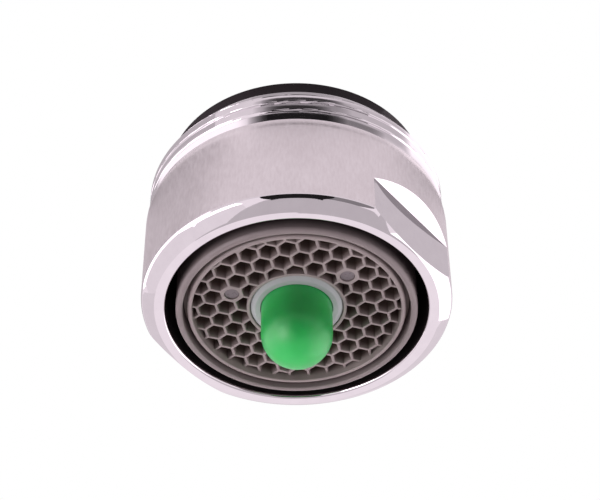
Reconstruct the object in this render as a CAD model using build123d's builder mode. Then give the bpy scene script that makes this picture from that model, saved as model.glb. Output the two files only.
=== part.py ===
from build123d import *
from math import radians, sqrt, tan
import os

# A tap aerator with a push button that lets more water through.
# The axis is Z, the thread points up and the outlet down. The origin is on the axis,
# at the lower end of the thread. All sizes are in millimetres.

# Housing: a turned and chromed body with two spanner flats
thread_diameter = 23.8
thread_length = 1.75
thread_lead_in = 1.2
thread_lead_in_depth = 0.6
thread_wall = 1.15
neck_length = 0.97
band_diameter = 24.2
band_height = 8.45
band_shoulder = 1.0
band_edge = 0.3
band_wall = 1.8
chamfer_height = 0.77
lip_width = 0.73
lip_edge = 0.08
flat_wall = 0.7
flat_height = 4.02
flat_runout = 2.4
flat_runout_angle = 38.0
seat_depth = 2.25
seat_width = 0.45

# Sealing washer on top of the insert's flange
washer_width = 2.175
washer_thickness = 2.6
washer_edge = 0.06

# Insert casing: a flanged plastic sleeve with a ring of air slots
flange_thickness = 1.5
air_gap = 0.93
casing_wall = 0.9
mouth_wall = 0.55
mouth_edge = 0.14
insert_proud = 0.18
air_slot_count = 10
air_slot_width = 2.4
air_slot_height = 0.9
shelf_width = 0.6
shelf_thickness = 0.6

# Honeycomb outlet
groove_width = 0.32
groove_depth = 1.4
rim_recess = 0.2
rim_wall = 0.43
rim_edge = 0.1
honeycomb_recess = 0.55
honeycomb_depth = 2.67
shoulder_height = 1.2
cell_pitch = 1.515
cell_wall = 0.27
cell_turn = 25.7
least_cell_area = 0.16
hub_wall = 0.25
hub_proud = 0.03
boss_count = 3
boss_diameter = 1.6
post_diameter = 1.1
post_recess = 0.12

# Guide bushing and push button
button_diameter = 5.54
button_reach = 4.88
button_travel = 2.0
collar_overhang = 0.45
collar_height = 0.8
bushing_wall = 0.76
bushing_proud = 0.1
bushing_edge_width = 0.35
bushing_edge_height = 0.22
bushing_guide_length = 1.75
bushing_flange_overhang = 0.55
bushing_flange_thickness = 0.5
bushing_head_room = 0.3

# Flow straightening grids
grid_height = 0.7
grid_rim = 0.55
grid_web = 0.4
grid_bar = 0.4
grid_gap = 0.95
grid_hub_wall = 0.5

# Jet plate with the valve seat
mixing_height = 2.1
jet_plate_thickness = 1.0
jet_count = 12
jet_diameter = 0.9
seat_bore = 4.0
seat_lip_width = 0.6
seat_lip_height = 0.2

# Flow regulator
regulator_height = 1.4
regulator_floor = 0.5
channel_width = 1.6
notch_width = 0.7
o_ring_section = 1.1
o_ring_sides = 8

# Valve on its stem, return spring and spring cage
stem_diameter = 1.8
socket_depth = 1.5
seal_thickness = 0.5
disc_diameter = 6.0
disc_thickness = 0.6
spring_diameter = 3.4
spring_wire = 0.28
spring_wire_sides = 8
spring_turns = 3.5
spring_length = 3.4
cage_wall = 0.6
cage_cap = 0.5
cage_foot = 0.7
cage_window_count = 3
cage_window_width = 3.4

# Inlet strainer
strainer_rim_width = 0.7
strainer_rim_thickness = 0.8
skirt_wall = 0.55
dome_wall = 0.5
dome_clearance = 0.25
strainer_pitch = 1.75
strainer_hole = 1.15
strainer_margin = 0.75

# Clearances
seat_gap = 0.05
fit_clearance = 0.05
press_clearance = 0.02
button_clearance = 0.05
valve_clearance = 0.4
flange_clearance = 0.1
washer_clearance = 0.175

# Radii that several pieces share
band_radius = band_diameter / 2
thread_radius = thread_diameter / 2
pocket_radius = thread_radius - thread_wall
bore_radius = min(pocket_radius - seat_width, band_radius - band_wall)
lip_radius = bore_radius + lip_width
flat_distance = bore_radius + flat_wall
flange_radius = pocket_radius - flange_clearance
washer_radius = pocket_radius - washer_clearance
casing_radius = bore_radius - air_gap
sleeve_radius = casing_radius - casing_wall
mouth_radius = casing_radius - mouth_wall
stack_radius = sleeve_radius - fit_clearance
rim_radius = mouth_radius - groove_width
field_radius = rim_radius - rim_wall
button_radius = button_diameter / 2
guide_radius = button_radius + button_clearance
collar_radius = button_radius + collar_overhang
collar_bore_radius = collar_radius + button_clearance
bushing_radius = guide_radius + bushing_wall
bushing_flange_radius = bushing_radius + bushing_flange_overhang
hub_bore_radius = bushing_radius + fit_clearance
hub_radius = hub_bore_radius + hub_wall
stem_radius = stem_diameter / 2
disc_radius = disc_diameter / 2
cage_bore_radius = disc_radius + valve_clearance
cage_radius = cage_bore_radius + cage_wall
regulator_bore_radius = cage_radius + fit_clearance
strainer_rim_radius = sleeve_radius + strainer_rim_width
skirt_bore_radius = stack_radius - skirt_wall
crown_radius = cage_radius + dome_clearance
channel_radius = (regulator_bore_radius + stack_radius) / 2
boss_circle_radius = 2 * sqrt(3) * cell_pitch
boss_turn = cell_turn + 90

# Heights, from the outlet rim up to the top of the washer
housing_top = thread_length + thread_lead_in
band_top = -neck_length
band_foot = band_top - band_height
outlet_rim = band_foot - chamfer_height
flange_seat = housing_top - seat_depth
flange_top = flange_seat + flange_thickness
casing_foot = outlet_rim - insert_proud
rim_foot = casing_foot + rim_recess
honeycomb_front = outlet_rim + honeycomb_recess
honeycomb_top = honeycomb_front + honeycomb_depth
shoulder_foot = casing_foot + groove_depth
shoulder_top = shoulder_foot + shoulder_height
hub_front = honeycomb_front - hub_proud
bushing_foot = hub_front - bushing_proud
bushing_step = bushing_foot + bushing_guide_length
bushing_flange_top = honeycomb_top + bushing_flange_thickness
lower_grid_top = honeycomb_top + grid_height
middle_grid_top = lower_grid_top + grid_height
upper_grid_top = middle_grid_top + grid_height
bushing_top = upper_grid_top + bushing_head_room
jet_plate_foot = upper_grid_top + mixing_height
jet_plate_top = jet_plate_foot + jet_plate_thickness
seat_top = jet_plate_top + seat_lip_height
regulator_top = jet_plate_top + regulator_height
channel_floor = jet_plate_top + regulator_floor
strainer_seat = flange_top - strainer_rim_thickness
collar_foot = bushing_step + seat_gap
button_top = collar_foot + collar_height
button_tip = outlet_rim - button_reach
stem_foot = button_top - socket_depth
seal_foot = seat_top + seat_gap
disc_foot = seal_foot + seal_thickness
disc_top = disc_foot + disc_thickness
cap_foot = disc_top + spring_length
cap_top = cap_foot + cage_cap
stem_top = cap_foot - button_travel - seat_gap
dome_top = cap_top + dome_clearance + dome_wall

os.makedirs("parts", exist_ok=True)

# Housing: neck and thread blank, seat for the insert, bore, lip, outlet chamfer and band
with BuildPart() as housing:
    with BuildSketch(Plane.XZ):
        with BuildLine():
            wall = Polyline(
                (thread_radius, band_top),
                (thread_radius, thread_length),
                (thread_radius - thread_lead_in_depth, housing_top),
                (pocket_radius, housing_top),
                (pocket_radius, flange_seat),
                (bore_radius, flange_seat),
                (bore_radius, outlet_rim),
                (lip_radius, outlet_rim),
                (band_radius, band_foot),
                (band_radius, band_top - band_shoulder),
            )
            # The band's upper edge is a rounded shoulder that ends at the neck
            TangentArc(wall @ 1, wall @ 0, tangent=wall % 1)
        make_face()
    revolve(axis=Axis.Z)
    chamfer(housing.edges().filter_by_position(Axis.Z, band_foot, band_foot), band_edge)
    chamfer(housing.edges().group_by(Axis.Z)[0], lip_edge)
    # The flats end in a sloping run-out
    with BuildSketch(Plane.XZ):
        with BuildLine():
            runout_rise = flat_runout * tan(radians(flat_runout_angle))
            Polyline(
                (flat_distance, outlet_rim),
                (flat_distance, outlet_rim + flat_height),
                (flat_distance + flat_runout, outlet_rim + flat_height + runout_rise),
                (flat_distance + flat_runout, outlet_rim),
                close=True,
            )
        make_face()
        mirror(about=Plane.YZ)
    extrude(amount=band_radius, both=True, mode=Mode.SUBTRACT)
housing.part.label = "housing"
export_step(housing.part, "parts/housing.step")

# Sealing washer: a thick flat rubber ring that stands proud of the thread
with BuildPart() as sealing_washer:
    with BuildSketch(Plane.XY.offset(flange_top)):
        Circle(washer_radius)
        Circle(washer_radius - washer_width, mode=Mode.SUBTRACT)
    extrude(amount=washer_thickness)
    chamfer(sealing_washer.edges().group_by(Axis.Z)[-1], washer_edge)
sealing_washer.part.label = "sealing_washer"
export_step(sealing_washer.part, "parts/sealing_washer.step")

# Insert casing: flange on the housing's seat, shelf for the jet plate, thin mouth
with BuildPart() as insert_casing:
    with BuildSketch(Plane.XZ):
        with BuildLine():
            Polyline(
                (mouth_radius, casing_foot),
                (casing_radius, casing_foot),
                (casing_radius, flange_seat),
                (flange_radius, flange_seat),
                (flange_radius, flange_top),
                (strainer_rim_radius + fit_clearance, flange_top),
                (strainer_rim_radius + fit_clearance, strainer_seat),
                (sleeve_radius, strainer_seat),
                (sleeve_radius, jet_plate_foot),
                (sleeve_radius - shelf_width, jet_plate_foot),
                (sleeve_radius - shelf_width, jet_plate_foot - shelf_thickness),
                (sleeve_radius, jet_plate_foot - shelf_thickness - shelf_width),
                (sleeve_radius, shoulder_top),
                (mouth_radius, shoulder_top),
                close=True,
            )
        make_face()
    revolve(axis=Axis.Z)
    chamfer(insert_casing.edges().group_by(Axis.Z)[0], mouth_edge)
    # Air slots between the upper grid and the shelf
    with BuildSketch(Plane.XY.offset(upper_grid_top)):
        with PolarLocations(sleeve_radius + casing_wall / 2, air_slot_count):
            Rectangle(2 * casing_wall, air_slot_width)
    extrude(amount=air_slot_height, mode=Mode.SUBTRACT)
insert_casing.part.label = "insert_casing"
export_step(insert_casing.part, "parts/insert_casing.step")

# Honeycomb cells: whole and cut hexagons between the hub and the rim, apart from three bosses
field_count = 2 * int(field_radius / cell_pitch) + 3
with BuildSketch(Plane.XY.offset(honeycomb_front)) as cells:
    with Locations(Rotation(0, 0, cell_turn)):
        with HexLocations(cell_pitch / 2, field_count, field_count, major_radius=False):
            RegularPolygon((cell_pitch - cell_wall) / 2, 6, major_radius=False)
    Circle(field_radius, mode=Mode.INTERSECT)
    Circle(hub_radius, mode=Mode.SUBTRACT)
    with Locations(Rotation(0, 0, boss_turn)):
        with PolarLocations(boss_circle_radius, boss_count):
            Circle(boss_diameter / 2, mode=Mode.SUBTRACT)

# Honeycomb outlet: raised rim, shoulder that seats in the casing, hub, bosses with post holes
with BuildPart() as honeycomb_outlet:
    with BuildSketch(Plane.XZ):
        with BuildLine():
            Polyline(
                (field_radius, rim_foot),
                (rim_radius, rim_foot),
                (rim_radius, shoulder_foot),
                (mouth_radius - fit_clearance, shoulder_foot),
                (mouth_radius - fit_clearance, shoulder_top),
                (stack_radius, shoulder_top),
                (stack_radius, honeycomb_top),
                (hub_bore_radius, honeycomb_top),
                (hub_bore_radius, hub_front),
                (hub_radius, hub_front),
                (hub_radius, honeycomb_front),
                (field_radius, honeycomb_front),
                close=True,
            )
        make_face()
    revolve(axis=Axis.Z)
    chamfer(honeycomb_outlet.edges().group_by(Axis.Z)[0], rim_edge)
    open_cells = cells.sketch.faces().filter_by(lambda cell: cell.area > least_cell_area)
    extrude(open_cells, amount=honeycomb_depth, mode=Mode.SUBTRACT)
    with BuildSketch(Plane.XY.offset(honeycomb_front)):
        with Locations(Rotation(0, 0, boss_turn)):
            with PolarLocations(boss_circle_radius, boss_count):
                Circle(post_diameter / 2 + press_clearance)
    extrude(amount=honeycomb_depth, mode=Mode.SUBTRACT)
honeycomb_outlet.part.label = "honeycomb_outlet"
export_step(honeycomb_outlet.part, "parts/honeycomb_outlet.step")

# Guide bushing: flanged sleeve with a bevelled nose and a counterbore for the button's collar
with BuildPart() as guide_bushing:
    with BuildSketch(Plane.XZ):
        with BuildLine():
            Polyline(
                (guide_radius, bushing_foot),
                (bushing_radius - bushing_edge_width, bushing_foot),
                (bushing_radius, bushing_foot + bushing_edge_height),
                (bushing_radius, honeycomb_top),
                (bushing_flange_radius, honeycomb_top),
                (bushing_flange_radius, bushing_flange_top),
                (bushing_radius, bushing_flange_top),
                (bushing_radius, bushing_top),
                (collar_bore_radius, bushing_top),
                (collar_bore_radius, bushing_step),
                (guide_radius, bushing_step),
                close=True,
            )
        make_face()
    revolve(axis=Axis.Z)
guide_bushing.part.label = "guide_bushing"
export_step(guide_bushing.part, "parts/guide_bushing.step")

# Push button: round-nosed plunger with a collar that keeps it in the bushing
with BuildPart() as push_button:
    with BuildSketch(Plane.XZ):
        with BuildLine():
            nose = CenterArc((0, button_tip + button_radius), button_radius, -90, 90)
            Polyline(
                nose @ 1,
                (button_radius, collar_foot),
                (collar_radius, collar_foot),
                (collar_radius, button_top),
                (stem_radius + press_clearance, button_top),
                (stem_radius + press_clearance, stem_foot),
                (0, stem_foot),
                nose @ 0,
            )
        make_face()
    revolve(axis=Axis.Z)
push_button.part.label = "push_button"
export_step(push_button.part, "parts/push_button.step")

# Valve stem: plain rod from the button's socket up into the spring
with BuildPart() as valve_stem:
    with BuildSketch(Plane.XY.offset(stem_foot)):
        Circle(stem_radius)
    extrude(amount=stem_top - stem_foot)
    chamfer(valve_stem.edges().group_by(Axis.Z)[-1], stem_radius / 3)
valve_stem.part.label = "valve_stem"
export_step(valve_stem.part, "parts/valve_stem.step")

# Valve disc, pressed on the stem above its seal
with BuildPart() as valve_disc:
    with BuildSketch(Plane.XY.offset(disc_foot)):
        Circle(disc_radius)
        Circle(stem_radius + press_clearance, mode=Mode.SUBTRACT)
    extrude(amount=disc_thickness)
valve_disc.part.label = "valve_disc"
export_step(valve_disc.part, "parts/valve_disc.step")

# Valve seal: flat rubber ring under the disc
with BuildPart() as valve_seal:
    with BuildSketch(Plane.XY.offset(seal_foot)):
        Circle(disc_radius)
        Circle(stem_radius + press_clearance, mode=Mode.SUBTRACT)
    extrude(amount=seal_thickness)
valve_seal.part.label = "valve_seal"
export_step(valve_seal.part, "parts/valve_seal.step")

# Return spring between the disc and the cage's cap
with BuildPart() as return_spring:
    coil_height = spring_length - spring_wire - 2 * press_clearance
    coil_foot = disc_top + press_clearance + spring_wire / 2
    with BuildLine() as coil:
        Helix(coil_height / spring_turns, coil_height, spring_diameter / 2, center=(0, 0, coil_foot))
    with BuildSketch(Plane(coil.line @ 0, z_dir=coil.line % 0)):
        RegularPolygon(spring_wire / 2, spring_wire_sides)
    sweep(path=coil.line, is_frenet=True)
return_spring.part.label = "return_spring"
export_step(return_spring.part, "parts/return_spring.step")

# Spring cage: a cap on three legs, standing on the jet plate round the valve
with BuildPart() as spring_cage:
    with BuildSketch(Plane.XY.offset(jet_plate_top)):
        Circle(cage_radius)
    extrude(amount=cap_top - jet_plate_top)
    with BuildSketch(Plane.XY.offset(jet_plate_top)):
        Circle(cage_bore_radius)
    extrude(amount=cap_foot - jet_plate_top, mode=Mode.SUBTRACT)
    with BuildSketch(Plane.XY.offset(jet_plate_top + cage_foot)):
        with PolarLocations(cage_radius, cage_window_count):
            Rectangle(2 * cage_wall + valve_clearance, cage_window_width)
    extrude(amount=cap_foot - jet_plate_top - cage_foot, mode=Mode.SUBTRACT)
spring_cage.part.label = "spring_cage"
export_step(spring_cage.part, "parts/spring_cage.step")


def grid(name, foot, hub_radius_inside, turn):
    """A rimmed disc of parallel bars, standing on its rim at the given height."""
    opening = grid_bar + grid_gap
    bar_count = 2 * int(stack_radius / opening) + 3
    with BuildSketch(Plane.XY.offset(foot)) as slots:
        with Locations(Rotation(0, 0, turn)):
            with GridLocations(opening, 1, bar_count, 1):
                Rectangle(grid_gap, 2 * stack_radius)
        Circle(stack_radius - grid_rim, mode=Mode.INTERSECT)
        Circle(hub_radius_inside + grid_hub_wall, mode=Mode.SUBTRACT)
    with BuildPart() as plate:
        with BuildSketch(Plane.XY.offset(foot)):
            Circle(stack_radius)
            Circle(hub_radius_inside, mode=Mode.SUBTRACT)
        extrude(amount=grid_height)
        with BuildSketch(Plane.XY.offset(foot)):
            Circle(stack_radius - grid_rim)
            Circle(hub_radius_inside + grid_hub_wall, mode=Mode.SUBTRACT)
        extrude(amount=grid_height - grid_web, mode=Mode.SUBTRACT)
        wide_slots = slots.sketch.faces().filter_by(lambda slot: slot.area > grid_gap * grid_gap)
        extrude(wide_slots, amount=grid_height, mode=Mode.SUBTRACT)
    plate.part.label = name
    return plate


# Lower grid: its three posts run down through the honeycomb's bosses
lower_plate = grid("lower_grid", honeycomb_top, bushing_flange_radius + fit_clearance, cell_turn)
with BuildPart() as lower_grid:
    add(lower_plate.part)
    with BuildSketch(Plane.XY.offset(honeycomb_front + post_recess)):
        with Locations(Rotation(0, 0, boss_turn)):
            with PolarLocations(boss_circle_radius, boss_count):
                Circle(post_diameter / 2)
    extrude(amount=honeycomb_depth - post_recess + grid_height)
lower_grid.part.label = "lower_grid"
export_step(lower_grid.part, "parts/lower_grid.step")

# Middle and upper grids, each turned a third of a half turn on the one below
middle_grid = grid("middle_grid", lower_grid_top, bushing_radius + fit_clearance, cell_turn + 60)
export_step(middle_grid.part, "parts/middle_grid.step")
upper_grid = grid("upper_grid", middle_grid_top, bushing_radius + fit_clearance, cell_turn + 120)
export_step(upper_grid.part, "parts/upper_grid.step")

# Jet plate: ring of jets and a raised valve seat round the stem
with BuildPart() as jet_plate:
    with BuildSketch(Plane.XY.offset(jet_plate_foot)):
        Circle(stack_radius)
    extrude(amount=jet_plate_thickness)
    with BuildSketch(Plane.XY.offset(jet_plate_top)):
        Circle(seat_bore / 2 + seat_lip_width)
    extrude(amount=seat_lip_height)
    with Locations((0, 0, seat_top)):
        Hole(seat_bore / 2)
    with Locations((0, 0, jet_plate_top)):
        with PolarLocations(channel_radius, jet_count):
            Hole(jet_diameter / 2)
jet_plate.part.label = "jet_plate"
export_step(jet_plate.part, "parts/jet_plate.step")

# Regulator body: ring with a channel for the O-ring, notched to the jets below
with BuildPart() as regulator_body:
    with BuildSketch(Plane.XY.offset(jet_plate_top)):
        Circle(stack_radius)
        Circle(regulator_bore_radius, mode=Mode.SUBTRACT)
    extrude(amount=regulator_height)
    with BuildSketch(Plane.XY.offset(channel_floor)):
        Circle(channel_radius + channel_width / 2)
        Circle(channel_radius - channel_width / 2, mode=Mode.SUBTRACT)
    extrude(amount=regulator_height - regulator_floor, mode=Mode.SUBTRACT)
    with BuildSketch(Plane.XY.offset(jet_plate_top)):
        with PolarLocations(channel_radius, jet_count):
            Rectangle(notch_width, notch_width)
    extrude(amount=regulator_floor, mode=Mode.SUBTRACT)
regulator_body.part.label = "regulator_body"
export_step(regulator_body.part, "parts/regulator_body.step")

# Regulator O-ring, lying on the channel's floor
with BuildPart() as regulator_o_ring:
    with BuildSketch(Plane.XZ):
        with Locations((channel_radius, channel_floor + o_ring_section / 2)):
            flat_down = 180 / o_ring_sides
            RegularPolygon(o_ring_section / 2, o_ring_sides, major_radius=False, rotation=flat_down)
    revolve(axis=Axis.Z)
regulator_o_ring.part.label = "regulator_o_ring"
export_step(regulator_o_ring.part, "parts/regulator_o_ring.step")

# Inlet strainer: rim in the casing, skirt down on the regulator, perforated hat over the cage
with BuildPart() as inlet_strainer:
    with BuildSketch(Plane.XZ):
        with BuildLine():
            Polyline(
                (0, dome_top),
                (crown_radius, dome_top),
                (skirt_bore_radius, flange_top),
                (strainer_rim_radius, flange_top),
                (strainer_rim_radius, strainer_seat),
                (stack_radius, strainer_seat),
                (stack_radius, regulator_top),
                (skirt_bore_radius, regulator_top),
                (skirt_bore_radius, flange_top - dome_wall),
                (crown_radius, dome_top - dome_wall),
                (0, dome_top - dome_wall),
                close=True,
            )
        make_face()
    revolve(axis=Axis.Z)
    mesh_radius = skirt_bore_radius - strainer_margin
    mesh_count = 2 * int(mesh_radius / strainer_pitch) + 1
    mesh_points = [
        place.position
        for place in GridLocations(strainer_pitch, strainer_pitch, mesh_count, mesh_count)
        if place.position.length + strainer_hole / sqrt(2) < mesh_radius
    ]
    with BuildSketch(Plane.XY.offset(regulator_top)):
        with Locations(*mesh_points):
            Rectangle(strainer_hole, strainer_hole)
    extrude(amount=dome_top - regulator_top, mode=Mode.SUBTRACT)
inlet_strainer.part.label = "inlet_strainer"
export_step(inlet_strainer.part, "parts/inlet_strainer.step")
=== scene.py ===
from math import atan2, cos, hypot, pi, radians, sin, sqrt, tan

import bmesh
import bpy
from mathutils import Matrix, Vector
from mathutils.geometry import delaunay_2d_cdt


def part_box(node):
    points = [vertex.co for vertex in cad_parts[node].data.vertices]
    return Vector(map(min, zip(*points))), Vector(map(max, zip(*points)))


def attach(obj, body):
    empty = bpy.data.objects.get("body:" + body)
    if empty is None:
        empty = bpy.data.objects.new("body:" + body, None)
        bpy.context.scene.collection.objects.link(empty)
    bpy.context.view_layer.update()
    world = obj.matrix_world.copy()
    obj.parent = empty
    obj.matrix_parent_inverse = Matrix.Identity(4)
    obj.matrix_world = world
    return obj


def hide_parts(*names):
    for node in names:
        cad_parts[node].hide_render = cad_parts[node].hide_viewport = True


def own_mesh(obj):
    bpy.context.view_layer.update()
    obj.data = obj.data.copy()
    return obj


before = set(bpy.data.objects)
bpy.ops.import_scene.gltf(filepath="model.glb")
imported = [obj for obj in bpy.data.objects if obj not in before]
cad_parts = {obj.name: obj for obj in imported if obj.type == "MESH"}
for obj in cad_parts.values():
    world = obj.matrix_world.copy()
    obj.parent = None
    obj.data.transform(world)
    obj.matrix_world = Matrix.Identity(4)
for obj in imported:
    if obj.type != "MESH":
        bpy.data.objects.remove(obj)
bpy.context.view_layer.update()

# A tap aerator: chromed housing with a fine thread, black washer, plastic insert with a
# honeycomb outlet and a green push button. The axis is Z and the outlet points down.

MM = 0.001


def foot_of(node):
    """Lowest height of a solid."""
    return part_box(node)[0].z


def top_of(node):
    """Highest height of a solid."""
    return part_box(node)[1].z


def radius_of(node):
    """Outer radius of a solid round the axis."""
    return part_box(node)[1].y


# Room between pieces that seat or slide in one another
fit_clearance = 0.05 * MM
stem_clearance = 0.02 * MM

# Housing
outlet_rim = foot_of("housing")
housing_top = top_of("housing")
band_radius = radius_of("housing")
thread_radius = 11.9 * MM
thread_pitch = 1.0 * MM
thread_foot = -0.2 * MM
thread_run_in = 0.3 * MM
thread_groove_depth = 0.22 * MM
thread_groove_width = 0.36 * MM
thread_groove_turn = 0.165
thread_lead_in = 1.2 * MM
thread_lead_in_depth = 0.68 * MM
thread_row = 0.03 * MM
shoulder_top = -0.97 * MM
shoulder_foot = -1.97 * MM
band_foot = outlet_rim + 0.72 * MM
band_foot_rounding = 0.5 * MM
bore_radius = 10.2 * MM
# Painted shade: the bore is painted nearly black from this height above the rim on
bore_painted_shade_from = 0.26 * MM
lip_radius = 11.03 * MM
lip_rounding = 0.22 * MM
lip_outer_rounding = 0.3 * MM
flat_distance = 11.12 * MM
flat_height = 4.02 * MM
flat_runout = 2.4 * MM
flat_runout_angle = radians(41)
flat_cut_below = 1.0 * MM
satin_foot = band_foot + 0.2 * MM
satin_dip = 0.45 * MM
satin_dip_from = radians(-75)
satin_dip_to = radians(-110)
paint_margin = 0.02 * MM
flat_facing = 0.999

# Washer and insert casing
flange_top = foot_of("sealing_washer")
washer_top = top_of("sealing_washer")
washer_radius = radius_of("sealing_washer")
washer_bore_radius = washer_radius - 2.175 * MM
washer_foot_rounding = 0.1 * MM
washer_top_rounding = 0.05 * MM
pocket_radius = 10.75 * MM
flange_radius = radius_of("insert_casing")
flange_seat = flange_top - 1.5 * MM
flange_rounding = 0.1 * MM
casing_foot = foot_of("insert_casing")
casing_radius = 9.39 * MM
casing_rounding = 0.36 * MM
sleeve_radius = casing_radius - 0.92 * MM
mouth_radius = casing_radius - 0.54 * MM
mouth_rounding = 0.14 * MM
# Painted shade darkens the casing's wall from here on, deeper into the gap round it
casing_shade_from = casing_foot + 0.4 * MM
strainer_rim_radius = radius_of("inlet_strainer") + fit_clearance
strainer_seat = flange_top - 0.8 * MM
jet_plate_foot = foot_of("jet_plate")
shelf_width = 0.6 * MM
shelf_rounding = 0.1 * MM
air_slot_count = 10
air_slot_width = 2.4 * MM
air_slot_height = 0.9 * MM
air_slot_cut = 2.0 * MM

# Honeycomb outlet
honeycomb_top = top_of("honeycomb_outlet")
honeycomb_front = honeycomb_top - 2.67 * MM
stack_radius = radius_of("honeycomb_outlet")
rim_foot = casing_foot + 0.2 * MM
shoulder_ring_foot = casing_foot + 1.4 * MM
shoulder_ring_top = shoulder_ring_foot + 1.2 * MM
shoulder_ring_radius = mouth_radius - fit_clearance
rim_radius = mouth_radius - 0.38 * MM
rim_rounding = 0.23 * MM
rim_inner_rounding = 0.12 * MM
field_radius = rim_radius - 0.36 * MM
bushing_radius = 3.58 * MM
hub_bore_radius = bushing_radius + fit_clearance
hub_radius = hub_bore_radius + 0.25 * MM
hub_front = honeycomb_front - 0.03 * MM
hub_rounding = 0.025 * MM
hub_bore_rounding = 0.07 * MM
cell_pitch = 1.515 * MM
cell_wall = 0.33 * MM
cell_turn = radians(25.7)
cell_edge = 0.09 * MM
cell_edge_depth = 0.7 * MM
cell_edge_steps = 8
cell_arc_step = 0.1 * MM
least_corner_spread = 0.5
least_cell_area = 0.05 * MM * MM
cut_overlap = 0.06 * MM
edge_overlap = 0.12 * MM
plate_overlap = 0.2 * MM
plate_merge_mm = 1e-6
weld_distance = 1e-4 * MM
boss_count = 3
boss_circle_radius = 2 * sqrt(3) * cell_pitch
boss_hole_radius = 0.57 * MM
boss_edge = 0.02 * MM
boss_segments = 32

# Bushing, button and spring
bushing_foot = foot_of("guide_bushing")
bushing_top = top_of("guide_bushing")
bushing_flange_radius = radius_of("guide_bushing")
bushing_flange_height = 0.5 * MM
bushing_edge_width = 0.35 * MM
bushing_edge_height = 0.22 * MM
bushing_nose_rounding = 0.12 * MM
bushing_edge_rounding = 0.1 * MM
bushing_bore_rounding = 0.03 * MM
bushing_rounding = 0.05 * MM
button_tip = foot_of("push_button")
button_top = top_of("push_button")
button_radius = 2.77 * MM
button_collar_radius = radius_of("push_button")
button_collar_foot = button_top - 0.8 * MM
button_collar_rounding = 0.08 * MM
guide_radius = button_radius + fit_clearance
collar_bore_radius = button_collar_radius + fit_clearance
bushing_step = button_collar_foot - fit_clearance
stem_bore_radius = radius_of("valve_stem") + stem_clearance
stem_foot = foot_of("valve_stem")
spring_foot = foot_of("return_spring")
spring_top = top_of("return_spring")
spring_wire_radius = 0.14 * MM
spring_coil_radius = radius_of("return_spring") - spring_wire_radius
spring_turns = 3.5
spring_steps = 160
spring_wire_segments = 12

# Broken edges of the inner pieces
inner_edge_width = 0.05 * MM
inner_edge_segments = 2
inner_edge_angle = radians(40)

# Smoothness of the turned forms, and a length too small to matter
SEGMENTS = 360
ARC_STEP = radians(9)
CURVE_STEPS = 24
SHARP_ANGLE = radians(18)
HAIR = 1e-9


# Mesh helpers

def heading(angle):
    """Unit vector at an angle round the axis."""
    return Vector((cos(angle), sin(angle)))


def rounded(corners, closed=True):
    """A line of (radius, height) points from corners (radius, height, rounding)."""
    line = []
    count = len(corners)
    for index, corner in enumerate(corners):
        at_end = not closed and index in (0, count - 1)
        here = Vector(corner[:2])
        rounding = corner[2] if len(corner) > 2 else 0
        if at_end or rounding == 0:
            line.append(tuple(here))
            continue
        before = (Vector(corners[index - 1][:2]) - here).normalized()
        after = (Vector(corners[(index + 1) % count][:2]) - here).normalized()
        half = before.angle(after) / 2
        centre = here + (before + after).normalized() * (rounding / sin(half))
        start = here + before * (rounding / tan(half)) - centre
        turn = pi - 2 * half
        if start.x * before.y - start.y * before.x > 0:
            turn = -turn
        steps = max(2, round(abs(turn) / ARC_STEP))
        for step in range(steps + 1):
            line.append(tuple(centre + Matrix.Rotation(turn * step / steps, 2) @ start))
    return line


def add_revolved(builder, line, closed=True, shape=None):
    """Turns a line of (radius, height) points about the axis into faces of the builder."""
    rings = []
    for radius, height in line:
        if radius < HAIR:
            rings.append([builder.verts.new((0, 0, height))])
            continue
        ring = []
        for index in range(SEGMENTS):
            angle = 2 * pi * index / SEGMENTS
            reach = shape(radius, height, angle) if shape else radius
            ring.append(builder.verts.new((reach * cos(angle), reach * sin(angle), height)))
        rings.append(ring)
    following = rings[1:] + rings[:1] if closed else rings[1:]
    for lower, upper in zip(rings, following):
        for index in range(SEGMENTS):
            after = (index + 1) % SEGMENTS
            corners = []
            for ring, place in ((lower, index), (lower, after), (upper, after), (upper, index)):
                vertex = ring[place % len(ring)]
                if vertex not in corners:
                    corners.append(vertex)
            builder.faces.new(corners)


def join_rings(builder, rings):
    """Faces between rings of equally many points, each ring joined to the next."""
    for lower, upper in zip(rings, rings[1:]):
        count = len(lower)
        for index in range(count):
            after = (index + 1) % count
            builder.faces.new((lower[index], lower[after], upper[after], upper[index]))


def add_prism(builder, outline, middle, direction, depth):
    """A prism: the outline's points, moved to the middle, extruded both ways along direction."""
    rings = []
    for side in (-depth / 2, depth / 2):
        rings.append([builder.verts.new(middle + point + direction * side) for point in outline])
    join_rings(builder, rings)
    builder.faces.new(rings[0])
    builder.faces.new(rings[1])


def smooth_by_angle(mesh):
    """Smooth shading that stops at edges sharper than SHARP_ANGLE."""
    mesh.polygons.foreach_set("use_smooth", [True] * len(mesh.polygons))
    mesh.set_sharp_from_angle(angle=SHARP_ANGLE)
    mesh.update()


def finish_mesh(name, builder):
    """Makes an object from the builder, with outward normals, smooth apart from real edges."""
    bmesh.ops.recalc_face_normals(builder, faces=builder.faces)
    mesh = bpy.data.meshes.new(name)
    builder.to_mesh(mesh)
    builder.free()
    piece = bpy.data.objects.new(name, mesh)
    bpy.context.scene.collection.objects.link(piece)
    smooth_by_angle(mesh)
    return piece


def revolved(name, line, closed=True, shape=None):
    """A turned piece."""
    builder = bmesh.new()
    add_revolved(builder, line, closed, shape)
    return finish_mesh(name, builder)


def cut_away(piece, cutter):
    """Subtracts the cutter from the piece and deletes the cutter."""
    modifier = piece.modifiers.new("cut", "BOOLEAN")
    modifier.operation = "DIFFERENCE"
    modifier.solver = "EXACT"
    modifier.object = cutter
    bpy.context.view_layer.update()
    evaluated = piece.evaluated_get(bpy.context.evaluated_depsgraph_get())
    cut_mesh = bpy.data.meshes.new_from_object(evaluated)
    piece.modifiers.clear()
    piece.data = cut_mesh
    bpy.data.objects.remove(cutter)
    smooth_by_angle(cut_mesh)


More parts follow.
